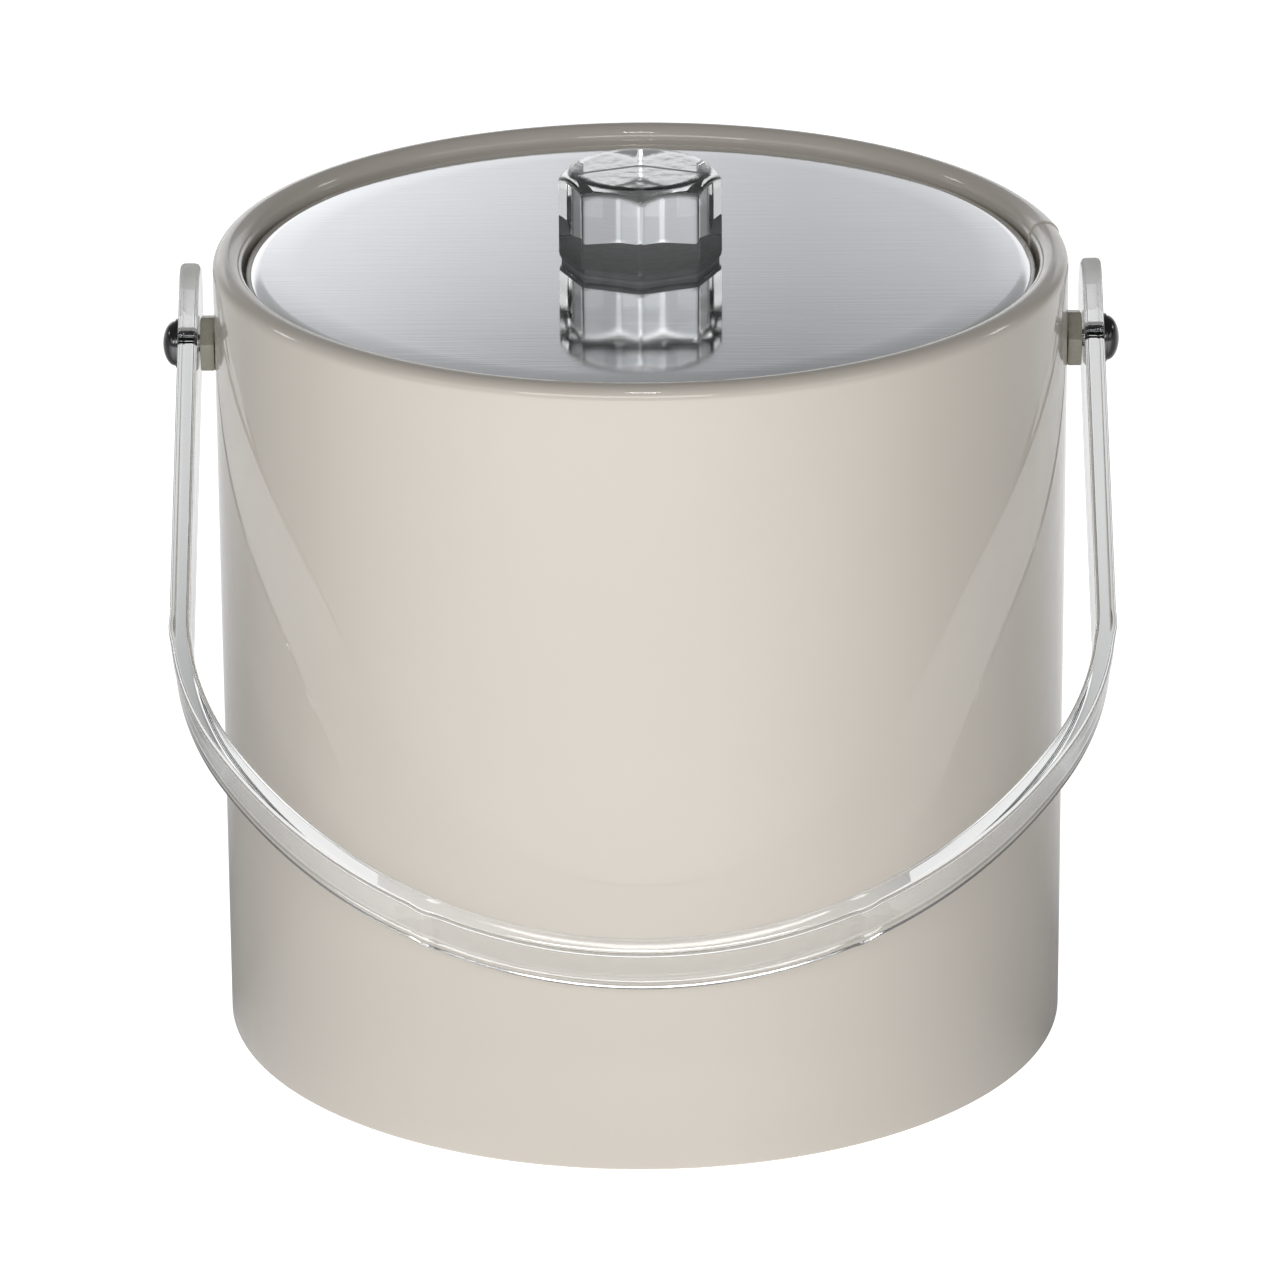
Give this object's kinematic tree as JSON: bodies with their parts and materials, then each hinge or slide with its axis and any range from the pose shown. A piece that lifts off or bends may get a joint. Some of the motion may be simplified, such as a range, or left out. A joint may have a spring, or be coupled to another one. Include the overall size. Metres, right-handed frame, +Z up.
{
  "type": "ice bucket",
  "caption": "Round insulated ice bucket wrapped in glossy vinyl, with a lift-off polished metal lid, a clear octagonal knob and a clear U-shaped swing handle.",
  "frame": {"origin": "centre of the base on the surface that the bucket stands on", "axes": "+Z up, -Y to the front where the handle rests, X along the handle's pivot axis"},
  "size_m": [0.228, 0.2227, 0.2138],
  "materials": {
    "vinyl": "high-gloss patent vinyl sheet, warm taupe",
    "board": "plain rigid board",
    "foam": "matt rigid foam",
    "liner_plastic": "satin moulded plastic",
    "felt": "matt felt",
    "spacer_plastic": "satin moulded plastic, matched to the vinyl",
    "dark_chrome": "polished dark chrome",
    "zinc": "bright zinc",
    "acrylic": "clear polished acrylic with frosted strap ends",
    "lid_metal": "polished with a faint brushed grain",
    "adhesive": "dark bonding pad"
  },
  "bodies": {
    "bucket": {"vinyl_wrap": "vinyl", "rim_ring": "board", "outer_shell": "board", "insulation_sleeve": "foam", "insulation_base": "foam", "liner": "liner_plastic", "base_cap": "board", "base_pad": "felt", "spacer_left": "spacer_plastic", "spacer_right": "spacer_plastic", "pivot_screw_left": "dark_chrome", "pivot_screw_right": "dark_chrome", "backing_washer_left": "zinc", "backing_washer_right": "zinc", "pivot_nut_left": "zinc", "pivot_nut_right": "zinc"},
    "handle": {"handle_strap": "acrylic"},
    "lid": {"lid_plate": "lid_metal", "lid_underside": "liner_plastic", "lid_core": "foam", "knob": "acrylic", "knob_pad": "adhesive"}
  },
  "joints": [
    {"name": "handle_swing", "type": "hinge", "parent": "bucket", "child": "handle", "pos_m": [0, 0, 0.1709], "axis": [-1, 0, 0], "range_deg": [0, 270]},
    {"name": "lid_lift", "type": "slide", "parent": "bucket", "child": "lid", "axis": [0, 0, 1], "range_m": [0, 0.06]}
  ]
}
